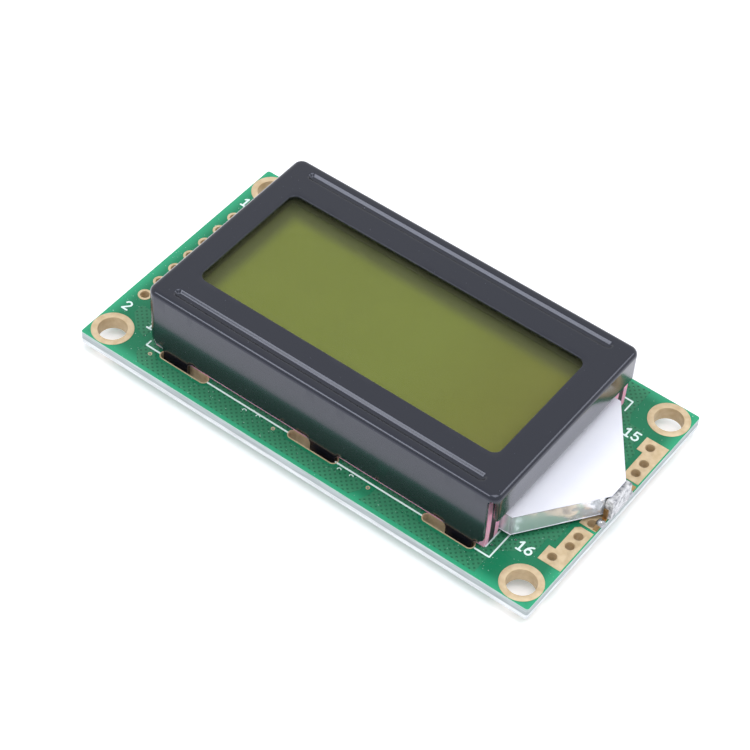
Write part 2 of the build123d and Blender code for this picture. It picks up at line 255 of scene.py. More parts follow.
# floor, world and lamps: metres and watts
studio = {
    "skyLight": 0.8,
    "skyColour": "#F4F6FF",
    "lampPower": 1.0,
    "lampSize": 0.32,
    "lampPlace": (0.10, -0.02, 0.5),
    "edgePower": 0.45,     # a smaller box from the front left, for the lines along folds and grooves
    "edgeSize": 0.17,
    "edgePlace": (-0.19, -0.26, 0.40),
    "rimPower": 0.25,      # another from the back right, for the fold of the right end
    "rimSize": 0.16,
    "rimPlace": (0.24, 0.28, 0.36),
    "paper": "#F6F6F8",
    "floorSize": 3.0,
    "floorGlow": 0.24,     # seen by the camera only, so that the floor reads as white paper
}


def seenRay(tree):
    # 1 for what is looked at, straight, mirrored or through glass; 0 for the light that falls on things
    path = addNode(tree, "LightPath")
    mirrored = addNode(tree, "Math", {"operation": "MAXIMUM"},
                       {0: path.outputs["Is Camera Ray"], 1: path.outputs["Is Glossy Ray"]})
    return addNode(tree, "Math", {"operation": "MAXIMUM"},
                   {0: mirrored.outputs[0], 1: path.outputs["Is Transmission Ray"]}).outputs[0]


boardLow, boardHigh = boxMm("circuit_board")
bezelLow, bezelHigh = boxMm("bezel")
floorMesh = bpy.data.meshes.new("floor")
half = studio["floorSize"] / 2
floorCorners = [(-half, -half, 0), (half, -half, 0), (half, half, 0), (-half, half, 0)]
floorMesh.from_pydata(floorCorners, [], [(0, 1, 2, 3)])
floor = bpy.data.objects.new("floor", floorMesh)
floor.location.z = bezelLow[2] * mm
bpy.context.collection.objects.link(floor)
paper = bpy.data.materials.new("whitePaper")
paper.use_nodes = True
tree = paper.node_tree
tree.nodes.clear()
matt = addNode(tree, "BsdfDiffuse", {"Color": linear(studio["paper"])})
glow = addNode(tree, "Emission", {"Color": (1, 1, 1, 1), "Strength": studio["floorGlow"]})
both = addNode(tree, "AddShader", {}, {0: matt.outputs[0], 1: glow.outputs[0]})
choice = addNode(tree, "MixShader", {}, {0: seenRay(tree), 1: matt.outputs[0], 2: both.outputs[0]})
addNode(tree, "OutputMaterial", {}, {"Surface": choice.outputs[0]})
floorMesh.materials.append(paper)

world = bpy.data.worlds.new("studio")
bpy.context.scene.world = world
world.use_nodes = True
tree = world.node_tree
tree.nodes.clear()
sky = addNode(tree, "Background", {"Color": linear(studio["skyColour"]), "Strength": studio["skyLight"]})
whiteWall = addNode(tree, "Background", {"Color": (1, 1, 1, 1), "Strength": 1.0})
choice = addNode(tree, "MixShader", {}, {0: seenRay(tree), 1: sky.outputs[0], 2: whiteWall.outputs[0]})
addNode(tree, "OutputWorld", {}, {"Surface": choice.outputs[0]})

for lampName in ("lamp", "edge", "rim"):
    lampData = bpy.data.lights.new(lampName + "Softbox", "AREA")
    lampData.shape = "SQUARE"
    lampData.size = studio[lampName + "Size"]
    lampData.energy = studio[lampName + "Power"]
    lampObject = bpy.data.objects.new(lampName + "Softbox", lampData)
    lampObject.location = studio[lampName + "Place"]
    lampObject.rotation_euler = (-Vector(studio[lampName + "Place"])).to_track_quat("-Z", "Y").to_euler()
    bpy.context.collection.objects.link(lampObject)


# materials

def finish(name, look):
    # two colours that drift into each other, a wandering roughness, and a fine relief; sizes in mm
    material, tree, shader, place = newMaterial(name)
    size, detail = look["drift"]
    patches = addNode(tree, "TexNoise", {"Scale": 1 / size, "Detail": detail,
                                         "Roughness": look.get("mottle", 0.5)}, {"Vector": place})
    low, high = look.get("span", (0.0, 1.0))
    share = addNode(tree, "MapRange", {"From Min": low, "From Max": high}, {"Value": patches.outputs["Fac"]})
    first, second = look["colours"]
    tint = addNode(tree, "Mix", {"data_type": "RGBA", 6: linear(first), 7: linear(second)},
                   {0: share.outputs[0]})
    tree.links.new(tint.outputs[2], shader.inputs["Base Color"])
    for socket, value in look["shader"].items():
        shader.inputs[socket].default_value = value
    if "wear" in look:
        smooth, dull, size, detail = look["wear"]
        worn = addNode(tree, "TexNoise", {"Scale": 1 / size, "Detail": detail}, {"Vector": place})
        rough = addNode(tree, "MapRange", {"To Min": smooth, "To Max": dull}, {"Value": worn.outputs["Fac"]})
        tree.links.new(rough.outputs[0], shader.inputs["Roughness"])
    if "relief" in look:
        strength, depth, size, detail = look["relief"]
        skin = addNode(tree, "TexNoise", {"Scale": 1 / size, "Detail": detail}, {"Vector": place})
        bump = addNode(tree, "Bump", {"Strength": strength, "Distance": depth * mm},
                       {"Height": skin.outputs["Fac"]})
        tree.links.new(bump.outputs[0], shader.inputs["Normal"])
    return material


# Solder mask: green printed ink over glass-epoxy, glossy, paler towards the board's edges where light
# comes back out of the laminate. Over the copper pour it is a shade lighter, with the holes of the
# pour's cross-hatch showing as darker squares.
mask = {
    "plain": "#1A7752", "edge": "#34A478", "copper": "#327D59", "copperEdge": "#3B9068", "hole": "#1F5A40",
    "glowWidth": 1.8, "hatchPitch": 0.508, "hatchHole": 0.22, "hatchSoft": 0.07, "hatchShare": 0.85,
    "cloud": 6.0, "speck": 0.14, "wear": 1.2, "ripple": 0.35,
    "roughness": 0.22, "dust": "#C8E8DC", "gloss": 1.35,
}


def solderMask(name, overCopper):
    material, tree, shader, place = newMaterial(name)
    away = addNode(tree, "VectorMath", {"operation": "ABSOLUTE"}, {0: place})
    parts = addNode(tree, "SeparateXYZ", {}, {0: away.outputs[0]})
    ends = addNode(tree, "Math", {"operation": "SUBTRACT", 0: boardHigh[0]}, {1: parts.outputs[0]})
    sides = addNode(tree, "Math", {"operation": "SUBTRACT", 0: boardHigh[1]}, {1: parts.outputs[1]})
    inset = addNode(tree, "Math", {"operation": "MINIMUM"}, {0: ends.outputs[0], 1: sides.outputs[0]})
    glow = addNode(tree, "MapRange", {"interpolation_type": "SMOOTHSTEP", "From Min": 0.0,
                                      "From Max": mask["glowWidth"], "To Min": 1.0, "To Max": 0.0},
                   {"Value": inset.outputs[0]})
    colour = addNode(tree, "Mix", {"data_type": "RGBA", 6: linear(mask["copper" if overCopper else "plain"]),
                                   7: linear(mask["copperEdge" if overCopper else "edge"])},
                     {0: glow.outputs[0]}).outputs[2]
    if overCopper:
        turned = addNode(tree, "Mapping", {"Rotation": (0, 0, math.radians(45)),
                                           "Scale": [1 / mask["hatchPitch"]] * 3}, {"Vector": place})
        cell = addNode(tree, "VectorMath", {"operation": "FRACTION"}, {0: turned.outputs[0]})
        middle = addNode(tree, "VectorMath", {"operation": "SUBTRACT", 1: (0.5, 0.5, 0.5)},
                         {0: cell.outputs[0]})
        away = addNode(tree, "VectorMath", {"operation": "ABSOLUTE"}, {0: middle.outputs[0]})
        axes = addNode(tree, "SeparateXYZ", {}, {0: away.outputs[0]})
        far = addNode(tree, "Math", {"operation": "MAXIMUM"}, {0: axes.outputs[0], 1: axes.outputs[1]})
        reach = mask["hatchHole"] / mask["hatchPitch"] / 2
        hole = addNode(tree, "MapRange", {"interpolation_type": "SMOOTHSTEP",
                                          "From Min": reach - mask["hatchSoft"],
                                          "From Max": reach + mask["hatchSoft"],
                                          "To Min": mask["hatchShare"], "To Max": 0.0},
                       {"Value": far.outputs[0]})
        colour = addNode(tree, "Mix", {"data_type": "RGBA", 7: linear(mask["hole"])},
                         {0: hole.outputs[0], 6: colour}).outputs[2]
    noises = {}
    for word, detail in (("cloud", 3.0), ("speck", 0.0), ("wear", 3.0), ("ripple", 3.0)):
        noises[word] = addNode(tree, "TexNoise", {"Scale": 1 / mask[word], "Detail": detail},
                               {"Vector": place}).outputs["Fac"]
    cloud = addNode(tree, "MapRange", {"To Min": 0.9, "To Max": 1.1}, {"Value": noises["cloud"]})
    colour = addNode(tree, "VectorMath", {"operation": "SCALE"},
                     {0: colour, "Scale": cloud.outputs[0]}).outputs[0]
    # dust: a few pale specks, drawn at 0.05 mm because finer ones would not show
    speck = addNode(tree, "MapRange", {"From Min": 0.83, "From Max": 0.87, "To Max": 0.7},
                    {"Value": noises["speck"]})
    colour = addNode(tree, "Mix", {"data_type": "RGBA", 7: linear(mask["dust"])},
                     {0: speck.outputs[0], 6: colour}).outputs[2]
    tree.links.new(colour, shader.inputs["Base Color"])
    shader.inputs["IOR"].default_value = mask["gloss"]
    rough = addNode(tree, "MapRange", {"To Min": mask["roughness"] - 0.06,
                                       "To Max": mask["roughness"] + 0.1}, {"Value": noises["wear"]})
    tree.links.new(rough.outputs[0], shader.inputs["Roughness"])
    bump = addNode(tree, "Bump", {"Strength": 0.25, "Distance": 0.02 * mm}, {"Height": noises["ripple"]})
    tree.links.new(bump.outputs[0], shader.inputs["Normal"])
    return material


solderMaskPlain = solderMask("solderMaskPlain", False)
solderMaskCopper = solderMask("solderMaskCopper", True)

# Glass-epoxy laminate, routed: pale grey-white edge in horizontal glass layers 0.2 mm apart
laminateBands = ((0.0, "#F2F6F5"), (0.36, "#EEF2F1"), (0.42, "#AEB9B7"), (0.62, "#B9C2C1"), (0.9, "#C4CFCC"))
laminate, tree, shader, place = newMaterial("routedLaminate")
stretched = addNode(tree, "Mapping", {"Scale": (0.4, 0.4, 5.0)}, {"Vector": place})
layers = addNode(tree, "TexNoise", {"Scale": 1.0, "Detail": 4.0}, {"Vector": stretched.outputs[0]})
height = addNode(tree, "SeparateXYZ", {}, {0: place})
share = addNode(tree, "Math", {"operation": "DIVIDE", 1: boardHigh[2]}, {0: height.outputs[2]})
ramp = addNode(tree, "ValToRGB", {}, {"Fac": share.outputs[0]})
for position, code in laminateBands:
    ramp.color_ramp.elements.new(position).color = linear(code)
ramp.color_ramp.elements[-1].color = linear("#BFE3D4")
cloudy = addNode(tree, "MapRange", {"From Min": 0.3, "From Max": 0.65, "To Min": 0.82, "To Max": 1.08},
                 {"Value": layers.outputs["Fac"]})
tint = addNode(tree, "VectorMath", {"operation": "SCALE"}, {0: ramp.outputs[0], "Scale": cloudy.outputs[0]})
tree.links.new(tint.outputs[0], shader.inputs["Base Color"])
shader.inputs["Roughness"].default_value = 0.7
bump = addNode(tree, "Bump", {"Strength": 0.5, "Distance": 0.04 * mm}, {"Height": layers.outputs["Fac"]})
tree.links.new(bump.outputs[0], shader.inputs["Normal"])

# Immersion gold over nickel: pale warm metal, satin, with a fine grain from the copper under it
goldPlating = finish("immersionGold", {
    "colours": ("#D9C4A1", "#C5AD86"), "drift": (0.9, 5.0), "span": (0.35, 0.7),
    "wear": (0.4, 0.57, 0.4, 4.0), "relief": (0.5, 0.02, 0.12, 4.0), "shader": {"Metallic": 0.3},
})

# Stoved black lacquer on steel sheet: near black, satin, with a faint orange peel and a little dust;
# its clear top shows brighter at a low angle
lacquer = {
    "base": "#0E1018", "dust": "#8E93A0", "roughness": 0.2, "speck": 0.13, "wear": 2.5, "peel": 0.7,
    "tooth": 0.09, "gloss": 1.4, "tint": "#C4D2FF", "coat": 1.45, "coatShare": 0.8, "coatRoughness": 0.12,
}
blackLacquer, tree, shader, place = newMaterial("stovedLacquer")
noises = {}
for word, detail in (("speck", 0.0), ("wear", 4.0), ("peel", 2.0), ("tooth", 2.0)):
    noises[word] = addNode(tree, "TexNoise", {"Scale": 1 / lacquer[word], "Detail": detail},
                           {"Vector": place}).outputs["Fac"]
speck = addNode(tree, "MapRange", {"From Min": 0.86, "From Max": 0.9, "To Max": 0.5},
                {"Value": noises["speck"]})
tint = addNode(tree, "Mix", {"data_type": "RGBA", 6: linear(lacquer["base"]), 7: linear(lacquer["dust"])},
               {0: speck.outputs[0]})
tree.links.new(tint.outputs[2], shader.inputs["Base Color"])
shader.inputs["IOR"].default_value = lacquer["gloss"]
shader.inputs["Specular Tint"].default_value = linear(lacquer["tint"])
shader.inputs["Coat Weight"].default_value = lacquer["coatShare"]
shader.inputs["Coat IOR"].default_value = lacquer["coat"]
shader.inputs["Coat Roughness"].default_value = lacquer["coatRoughness"]
rough = addNode(tree, "MapRange", {"To Min": lacquer["roughness"] - 0.05,
                                   "To Max": lacquer["roughness"] + 0.07}, {"Value": noises["wear"]})
tree.links.new(rough.outputs[0], shader.inputs["Roughness"])
peel = addNode(tree, "Bump", {"Strength": 0.2, "Distance": 0.03 * mm}, {"Height": noises["peel"]})
tooth = addNode(tree, "Bump", {"Strength": 0.25, "Distance": 0.01 * mm},
                {"Height": noises["tooth"], "Normal": peel.outputs[0]})
tree.links.new(tooth.outputs[0], shader.inputs["Normal"])

# Moulded silicone rubber, pink, with a chalky skin
pinkRubber = finish("pinkSilicone", {
    "colours": ("#F6A4C0", "#FFC0D4"), "drift": (0.5, 4.0), "relief": (0.5, 0.04, 0.15, 4.0),
    "shader": {"Roughness": 0.62, "Subsurface Weight": 0.25, "Subsurface Scale": 0.6 * mm, "IOR": 1.42},
})

# Carbon-filled silicone: the sliced contact core, dull black. The slices are drawn 0.2 mm wide, coarser
# than the real ones, so that they show.
carbonRubber, tree, shader, place = newMaterial("carbonSilicone")
stripes = addNode(tree, "TexWave", {"Scale": 1.6, "Distortion": 0.6, "bands_direction": "X"},
                  {"Vector": place})
tint = addNode(tree, "Mix", {"data_type": "RGBA", 6: linear("#1E1B1D"), 7: linear("#332D30")},
               {0: stripes.outputs["Fac"]})
tree.links.new(tint.outputs[2], shader.inputs["Base Color"])
shader.inputs["Roughness"].default_value = 0.6
bump = addNode(tree, "Bump", {"Strength": 0.4, "Distance": 0.03 * mm}, {"Height": stripes.outputs["Fac"]})
tree.links.new(bump.outputs[0], shader.inputs["Normal"])

# Float glass: mirrors little, because it is cemented in the cell. It lets the light through without
# bending it, so that the layer below keeps its shade and shadow.
displayGlass, tree, shader, place = newMaterial("floatGlass")
shader.inputs["Base Color"].default_value = linear("#B7BE9A")
shader.inputs["Roughness"].default_value = 0.04
shader.inputs["IOR"].default_value = 1.5
clear = addNode(tree, "BsdfTransparent", {"Color": linear("#FAFBF6")})
bend = addNode(tree, "Fresnel", {"IOR": 1.25})
streaks = addNode(tree, "TexNoise", {"Scale": 1 / 3.0, "Detail": 3.0}, {"Vector": place})
smear = addNode(tree, "Math", {"operation": "MULTIPLY", 1: 0.01}, {0: streaks.outputs["Fac"]})
share = addNode(tree, "Math", {"operation": "ADD", "use_clamp": True},
                {0: bend.outputs[0], 1: smear.outputs[0]})
mixed = addNode(tree, "MixShader", {}, {0: share.outputs[0], 1: clear.outputs[0], 2: shader.outputs[0]})
tree.links.new(mixed.outputs[0], tree.nodes["Material Output"].inputs["Surface"])

# Polariser film, stretched plastic with an anti-glare coat: satin, olive, clear enough to see through
polariserFilm, tree, shader, place = newMaterial("polariserFilm")
shader.inputs["Base Color"].default_value = linear("#9BA37A")
shader.inputs["Roughness"].default_value = 0.38
shader.inputs["IOR"].default_value = 1.48
clear = addNode(tree, "BsdfTransparent", {"Color": linear("#F8F9F2")})
patches = addNode(tree, "TexNoise", {"Scale": 1 / 5.0, "Detail": 3.0}, {"Vector": place})
haze = addNode(tree, "MapRange", {"To Min": 0.01, "To Max": 0.04}, {"Value": patches.outputs["Fac"]})
bend = addNode(tree, "Fresnel", {"IOR": 1.25})
share = addNode(tree, "Math", {"operation": "ADD", "use_clamp": True},
                {0: bend.outputs[0], 1: haze.outputs[0]})
mixed = addNode(tree, "MixShader", {}, {0: share.outputs[0], 1: clear.outputs[0], 2: shader.outputs[0]})
tree.links.new(mixed.outputs[0], tree.nodes["Material Output"].inputs["Surface"])
coat = addNode(tree, "TexNoise", {"Scale": 1 / 0.1, "Detail": 3.0}, {"Vector": place})
bump = addNode(tree, "Bump", {"Strength": 0.15, "Distance": 0.01 * mm}, {"Height": coat.outputs["Fac"]})
tree.links.new(bump.outputs[0], shader.inputs["Normal"])

# Yellow-green reflector behind the rear glass, seen through the cell: even, matt, browner at the right,
# with the soft grey shade that the bezel's left and back edges throw on it
reflector = {
    "middle": "#999F58", "right": "#938D4E", "driftFrom": 4.0, "driftTo": 19.0,
    "shade": "#6F6C61", "shadeWidth": 1.9, "shadeLeft": -19.2, "shadeBack": 7.85, "shadeShare": 0.75,
}
crystalLayer, tree, shader, place = newMaterial("reflectorSheet")
spot = addNode(tree, "SeparateXYZ", {}, {0: place})
drift = addNode(tree, "MapRange", {"From Min": reflector["driftFrom"], "From Max": reflector["driftTo"]},
                {"Value": spot.outputs[0]})
tint = addNode(tree, "Mix", {"data_type": "RGBA", 6: linear(reflector["middle"]),
                             7: linear(reflector["right"])}, {0: drift.outputs[0]})
fromLeft = addNode(tree, "Math", {"operation": "SUBTRACT", 1: reflector["shadeLeft"]}, {0: spot.outputs[0]})
fromBack = addNode(tree, "Math", {"operation": "SUBTRACT", 0: reflector["shadeBack"]}, {1: spot.outputs[1]})
nearest = addNode(tree, "Math", {"operation": "SMOOTH_MIN", 2: 1.0},
                  {0: fromLeft.outputs[0], 1: fromBack.outputs[0]})
shade = addNode(tree, "MapRange", {"interpolation_type": "SMOOTHSTEP", "From Min": 0.2,
                                   "From Max": reflector["shadeWidth"],
                                   "To Min": reflector["shadeShare"], "To Max": 0.0},
                {"Value": nearest.outputs[0]})
tint = addNode(tree, "Mix", {"data_type": "RGBA", 7: linear(reflector["shade"])},
               {0: shade.outputs[0], 6: tint.outputs[2]})
patches = addNode(tree, "TexNoise", {"Scale": 1 / 9.0, "Detail": 2.0}, {"Vector": place})
cloud = addNode(tree, "MapRange", {"To Min": 0.95, "To Max": 1.05}, {"Value": patches.outputs["Fac"]})
tint = addNode(tree, "VectorMath", {"operation": "SCALE"}, {0: tint.outputs[2], "Scale": cloud.outputs[0]})
tree.links.new(tint.outputs[0], shader.inputs["Base Color"])
shader.inputs["Roughness"].default_value = 0.6
shader.inputs["Specular IOR Level"].default_value = 0.2
skin = addNode(tree, "TexNoise", {"Scale": 1 / 0.2, "Detail": 3.0}, {"Vector": place})
bump = addNode(tree, "Bump", {"Strength": 0.1, "Distance": 0.01 * mm}, {"Height": skin.outputs["Fac"]})
tree.links.new(bump.outputs[0], shader.inputs["Normal"])

# White reflector film, extruded PET: bright white, faintly glossy, with shallow ripples 3 mm apart
whiteFilm = finish("whitePet", {
    "colours": ("#EFF1FA", "#F6F7FD"), "drift": (2.0, 4.0), "relief": (0.25, 0.1, 3.0, 2.0),
    "shader": {"Roughness": 0.35, "IOR": 1.57},
})

# The same film seen edge on, where its metallised back mirrors the board and the rubber beside it
mirrorFilm = finish("metallisedPet", {
    "colours": ("#F0F3F7", "#FAFAFD"), "drift": (1.5, 4.0), "relief": (0.4, 0.2, 2.2, 3.0),
    "shader": {"Metallic": 0.6, "Roughness": 0.2},
})

# Cast acrylic, polished: clear, with faint machining haze inside
clearAcrylic = finish("castAcrylic", {
    "colours": ("#DDE3E6", "#F2F5F6"), "drift": (1.0, 3.0),
    "shader": {"Roughness": 0.12, "IOR": 1.49, "Transmission Weight": 0.6},
})

# Clear epoxy cast round the lamp's die: glassy, cloudy white inside
lampEpoxy = finish("castEpoxy", {
    "colours": ("#8F9297", "#FAFAFA"), "drift": (0.5, 4.0), "mottle": 0.6, "span": (0.35, 0.6),
    "relief": (0.7, 0.2, 0.7, 3.0), "shader": {"Roughness": 0.12, "IOR": 1.52, "Transmission Weight": 0.25},
})

# Lead frame: stamped copper alloy, pale brown, blotched with handling
leadFrame = finish("stampedCopperAlloy", {
    "colours": ("#C9A878", "#957049"), "drift": (0.5, 4.0), "relief": (0.4, 0.03, 0.2, 3.0),
    "shader": {"Metallic": 1.0, "Roughness": 0.36},
})

# Tin solder, reflowed by hand: grey, shiny, slightly frosted where it cooled last
tinSolder = finish("reflowedSolder", {
    "colours": ("#8E9094", "#C3C5C9"), "drift": (0.4, 4.0), "wear": (0.14, 0.4, 0.5, 4.0),
    "relief": (0.4, 0.05, 0.3, 3.0), "shader": {"Metallic": 1.0},
})

# Screen-printed legend ink: white, thin enough in places to let some green through
legendInk = finish("screenPrintInk", {
    "colours": ("#CFEFE6", "#F1FBF8"), "drift": (0.25, 4.0), "relief": (0.4, 0.02, 0.08, 3.0),
    "shader": {"Roughness": 0.55},
})

# Glob-top epoxy, cured from a drop: deep black, glossy, with slight ripples
globEpoxy = finish("globTopEpoxy", {
    "colours": ("#121214", "#1D1D20"), "drift": (1.5, 4.0), "wear": (0.18, 0.34, 2.0, 3.0),
    "relief": (0.3, 0.2, 2.2, 3.0), "shader": {},
})

# Thick-film chip resistor: fired black glaze over alumina
chipGlaze = finish("firedGlaze", {
    "colours": ("#18191C", "#2A2B2F"), "drift": (0.4, 4.0), "shader": {"Roughness": 0.3},
})

# Chip capacitor: sintered ceramic, matt brown
chipCeramic = finish("sinteredCeramic", {
    "colours": ("#9A7A58", "#B5946C"), "drift": (0.2, 4.0), "shader": {"Roughness": 0.55},
})

# Cell seal and fill plug: cured resin, brown-grey
sealResin = finish("curedResin", {
    "colours": ("#5A564A", "#6E695A"), "drift": (0.6, 4.0), "shader": {"Roughness": 0.3},
})
print("materials ready")


# circuit board

board = {
    "corner": 0.3, "edge": 0.03, "plating": 0.05, "copper": 0.05,
    "mountHole": 3.2, "mountPad": 4.64,
    "headerInset": 1.8, "pitch": 2.54, "headerCount": 7, "headerHole": 1.0, "headerPad": 1.56,
    "slotLength": 6.2, "slotWidth": 1.0, "slotPitch": 17.2, "slotLip": 0.12, "slotClear": 0.5,
    "padHole": 1.0, "padInner": 2.15, "padFoot": 2.05, "padCut": 0.45,
    "pinHole": (1.85, 1.05),                   # from the right edge, and from the outer end of its pad
    "linkHoles": ((1.2, 6.85), (1.2, 5.3)),    # from the right edge, and from the middle
    "lampHole": (1.05, 3.05),
    "via": 0.3, "viaPad": 0.341, "viaRim": 0.085,
    "maskedFrom": 20.0,    # vias further right than this have mask on their rims
    "vias": ((-21.2, -13.8), (-4.7, -13.65), (7.6, -13.65), (23.1, -9.6), (21.6, -11.6),
             (-10.9, 13.9), (12.4, 14.2)),
    "maskRise": 0.02,      # the mask stands this much higher over the pour
}
ringLow, ringHigh = boxMm("mount_ring_front_right")
mountX, mountY = (ringLow[0] + ringHigh[0]) / 2, (ringHigh[1] + ringLow[1]) / -2
liningLow, liningHigh = boxMm("slot_lining_back_2")
slotY = (liningLow[1] + liningHigh[1]) / 2
boardTop = boardHigh[2]
padTop = boardTop + board["copper"]
mountPlaces = [(x * mountX, y * mountY) for x in (-1, 1) for y in (-1, 1)]
slotPlaces = [(i * board["slotPitch"], s * slotY) for s in (-1, 1) for i in (-1, 0, 1)]
headerPlaces = [[(boardLow[0] + board["headerInset"] + column * board["pitch"],
                  (i - (board["headerCount"] - 1) / 2) * board["pitch"])
                 for i in range(board["headerCount"])] for column in (0, 1)]
groupLow, groupHigh = boxMm("backlight_pad_back")
lampPadLow, lampPadHigh = boxMm("lamp_pad_back")
pinHole = (boardHigh[0] - board["pinHole"][0], groupHigh[1] - board["pinHole"][1])
linkHoles = [(boardHigh[0] - inset, y) for inset, y in board["linkHoles"]]
lampHole = (boardHigh[0] - board["lampHole"][0], board["lampHole"][1])


def mirrored(points, side):
    # the same outline on the front (side -1) or the back (side 1), turning the same way
    return list(points) if side > 0 else [(x, -y) for x, y in reversed(points)]


drillBy = 2 * board["plating"]
boardLoops = [roundedRectangle(boardLow, boardHigh, board["corner"])]
boardLoops += [circlePath(p, board["mountHole"] + drillBy) for p in mountPlaces]
boardLoops += [circlePath(p, board["headerHole"] + drillBy, 32) for p in headerPlaces[0] + headerPlaces[1]]
boardLoops += [slotPath(p, board["slotLength"] + drillBy, board["slotWidth"] + drillBy) for p in slotPlaces]
for side in (-1, 1):
    for x, y in [pinHole, *linkHoles, lampHole]:
        boardLoops.append(circlePath((x, side * y), board["padHole"] + drillBy, 32))
boardLoops += [circlePath(p, board["via"], 16) for p in board["vias"]]
boardShape = newShape()
flatPlate(boardShape, boardLoops, 0, boardTop, board["edge"], 0, 1)
addPiece("board_plate", boardShape, [solderMaskPlain, laminate], ["circuit_board"])

# the copper pour under the mask: the right end with the back and part of the front, the rest of the
# front, and a patch beside the header holes
pour = {
    "right": [(8.3, -14.2), (7.75, -15.45), (22.17, -15.5), (22.17, -12.1), (24.2, -10.5), (25.5, -10.2),
              (25.5, -7.4), (26.3, -7.3), (26.3, -2.0), (25.4, -1.2), (25.4, 1.2), (26.3, 2.0), (26.3, 7.5),
              (25.5, 8.2), (25.5, 10.55), (23.65, 10.6), (23.0, 11.9), (23.0, 15.6), (-21.9, 15.6),
              (-22.6, 14.8), (-22.6, 11.0), (20.0, 11.0), (20.0, -11.0), (8.3, -11.0)],
    "left": [(-22.5, -11.0), (-22.5, -14.5), (-21.5, -15.5), (6.5, -15.5), (7.15, -14.4), (7.15, -11.0)],
    "header": [(-26.4, -9.0), (-26.4, -10.3), (-24.9, -11.8), (-23.3, -12.4), (-23.3, -8.9)],
    "frontSplit": 7.7,     # the gap between the two parts on the front strip
    "edge": 0.008,
}
pourHoles = {
    "right": [p for p in slotPlaces if p[1] > 0 or p[0] > pour["frontSplit"]],
    "left": [p for p in slotPlaces if p[1] < 0 and p[0] < pour["frontSplit"]],
    "header": [],
}
# the left part also lays a disc of mask over the via at its x on the back strip
pourVias = {
    "right": [p for p in board["vias"] if p[1] > 0 or p[0] > pour["frontSplit"]],
    "left": [p for p in board["vias"] if p[0] < pour["frontSplit"] - board["via"]],
    "header": [],
}
pourShape = newShape()
clear = 2 * board["slotClear"]
for part, slots in pourHoles.items():
    holes = [slotPath(p, board["slotLength"] + clear, board["slotWidth"] + clear) for p in slots]
    holes += [circlePath(p, board["viaPad"], 16) for p in pourVias[part]]
    flatPlate(pourShape, [pour[part]] + holes, boardTop, boardTop + board["maskRise"], pour["edge"])
addPiece("copper_pour", pourShape, [solderMaskCopper])

# vias: a drilled hole with a thin bare rim, or one that the mask covers near the right end
viaShape = newShape()
top, rim = boardTop + board["maskRise"] + 0.01, board["viaRim"]
rimProfile = [(0.0, 0.02), (0.0, top - 0.01), (0.02, top), (rim - 0.015, top), (rim, top - 0.02),
              (rim, 0.02)]
for x, y in board["vias"]:
    mark = 1 if x > board["maskedFrom"] else 0
    sweepRim(viaShape, circlePath((x, y), board["via"], 20), rimProfile, mark)
addPiece("via_rims", viaShape, [goldPlating, solderMaskPlain])


def platedProfile(reach):
    # section of a plated hole: a rounded pad on both faces and a thin barrel between them
    top, low, wall, soft = padTop, -board["copper"], board["plating"], 0.018
    under = [(0, low + soft), (soft * 0.3, low + soft * 0.3), (soft, low), (reach - soft, low)]
    outside = [(reach, low + soft), (reach, 0), (wall, 0), (wall, boardTop), (reach, boardTop)]
    over = [(reach, top - soft), (reach - soft * 0.3, top - soft * 0.3), (reach - soft, top)]
    lip = [(0.05, top), (0.015, top - 0.01), (0, top - 0.04)]
    return under + outside + over + lip


for side in (-1, 1):
    for end, word in ((-1, "left"), (1, "right")):
        name = ("front_" if side < 0 else "back_") + word
        shape = newShape()
        sweepRim(shape, circlePath((end * mountX, side * mountY), board["mountHole"], 96),
                 platedProfile((board["mountPad"] - board["mountHole"]) / 2))
        addPiece("mounting_ring_" + name, shape, [goldPlating], ["mount_ring_" + name])
for column, word in enumerate(("outer", "inner")):
    shape = newShape()
    for place in headerPlaces[column]:
        sweepRim(shape, circlePath(place, board["headerHole"], 40),
                 platedProfile((board["headerPad"] - board["headerHole"]) / 2))
    addPiece("header_rings_" + word, shape, [goldPlating], ["header_plating_" + word])
for i, place in enumerate(slotPlaces):
    name = ("front_" if i < 3 else "back_") + str(i % 3 + 1)
    shape = newShape()
    sweepRim(shape, slotPath(place, board["slotLength"], board["slotWidth"], 16),
             platedProfile(board["slotLip"]))
    addPiece("slot_rim_" + name, shape, [goldPlating], ["slot_lining_" + name])

# the backlight's pads: a wide foot round the pin hole, a strip of link holes, and the lamp's own pad
padCut, rightX, stepX = board["padCut"], groupHigh[0], groupLow[0]
innerX, stepY = boardHigh[0] - board["padInner"], groupHigh[1] - board["padFoot"]
for side in (-1, 1):
    word = "front" if side < 0 else "back"
    groupOutline = [(rightX, groupLow[1]), (rightX, groupHigh[1]), (stepX, groupHigh[1]), (stepX, stepY),
                    (innerX, stepY), (innerX, groupLow[1] + padCut), (innerX + padCut, groupLow[1])]
    lampOutline = [(rightX, lampPadLow[1]), (rightX, lampPadHigh[1]),
                   (lampPadLow[0], lampPadHigh[1]), (lampPadLow[0], lampPadLow[1])]
    for name, outline, holes in (("backlight_pad_", groupOutline, [pinHole, *linkHoles]),
                                 ("lamp_pad_", lampOutline, [lampHole])):
        shape = newShape()
        loops = [mirrored(outline, side)]
        loops += [circlePath((x, side * y), board["padHole"] + 0.06, 40) for x, y in holes]
        for low, high in ((-board["copper"], 0), (boardTop, padTop)):
            flatPlate(shape, loops, low, high, 0.012)
        for x, y in holes:
            sweepRim(shape, circlePath((x, side * y), board["padHole"], 40), platedProfile(0.05))
        addPiece(name + "face_" + word, shape, [goldPlating], [name + word])
print("board done")


# printed legend: pin numbers, lines round the bezel, half rings of ink

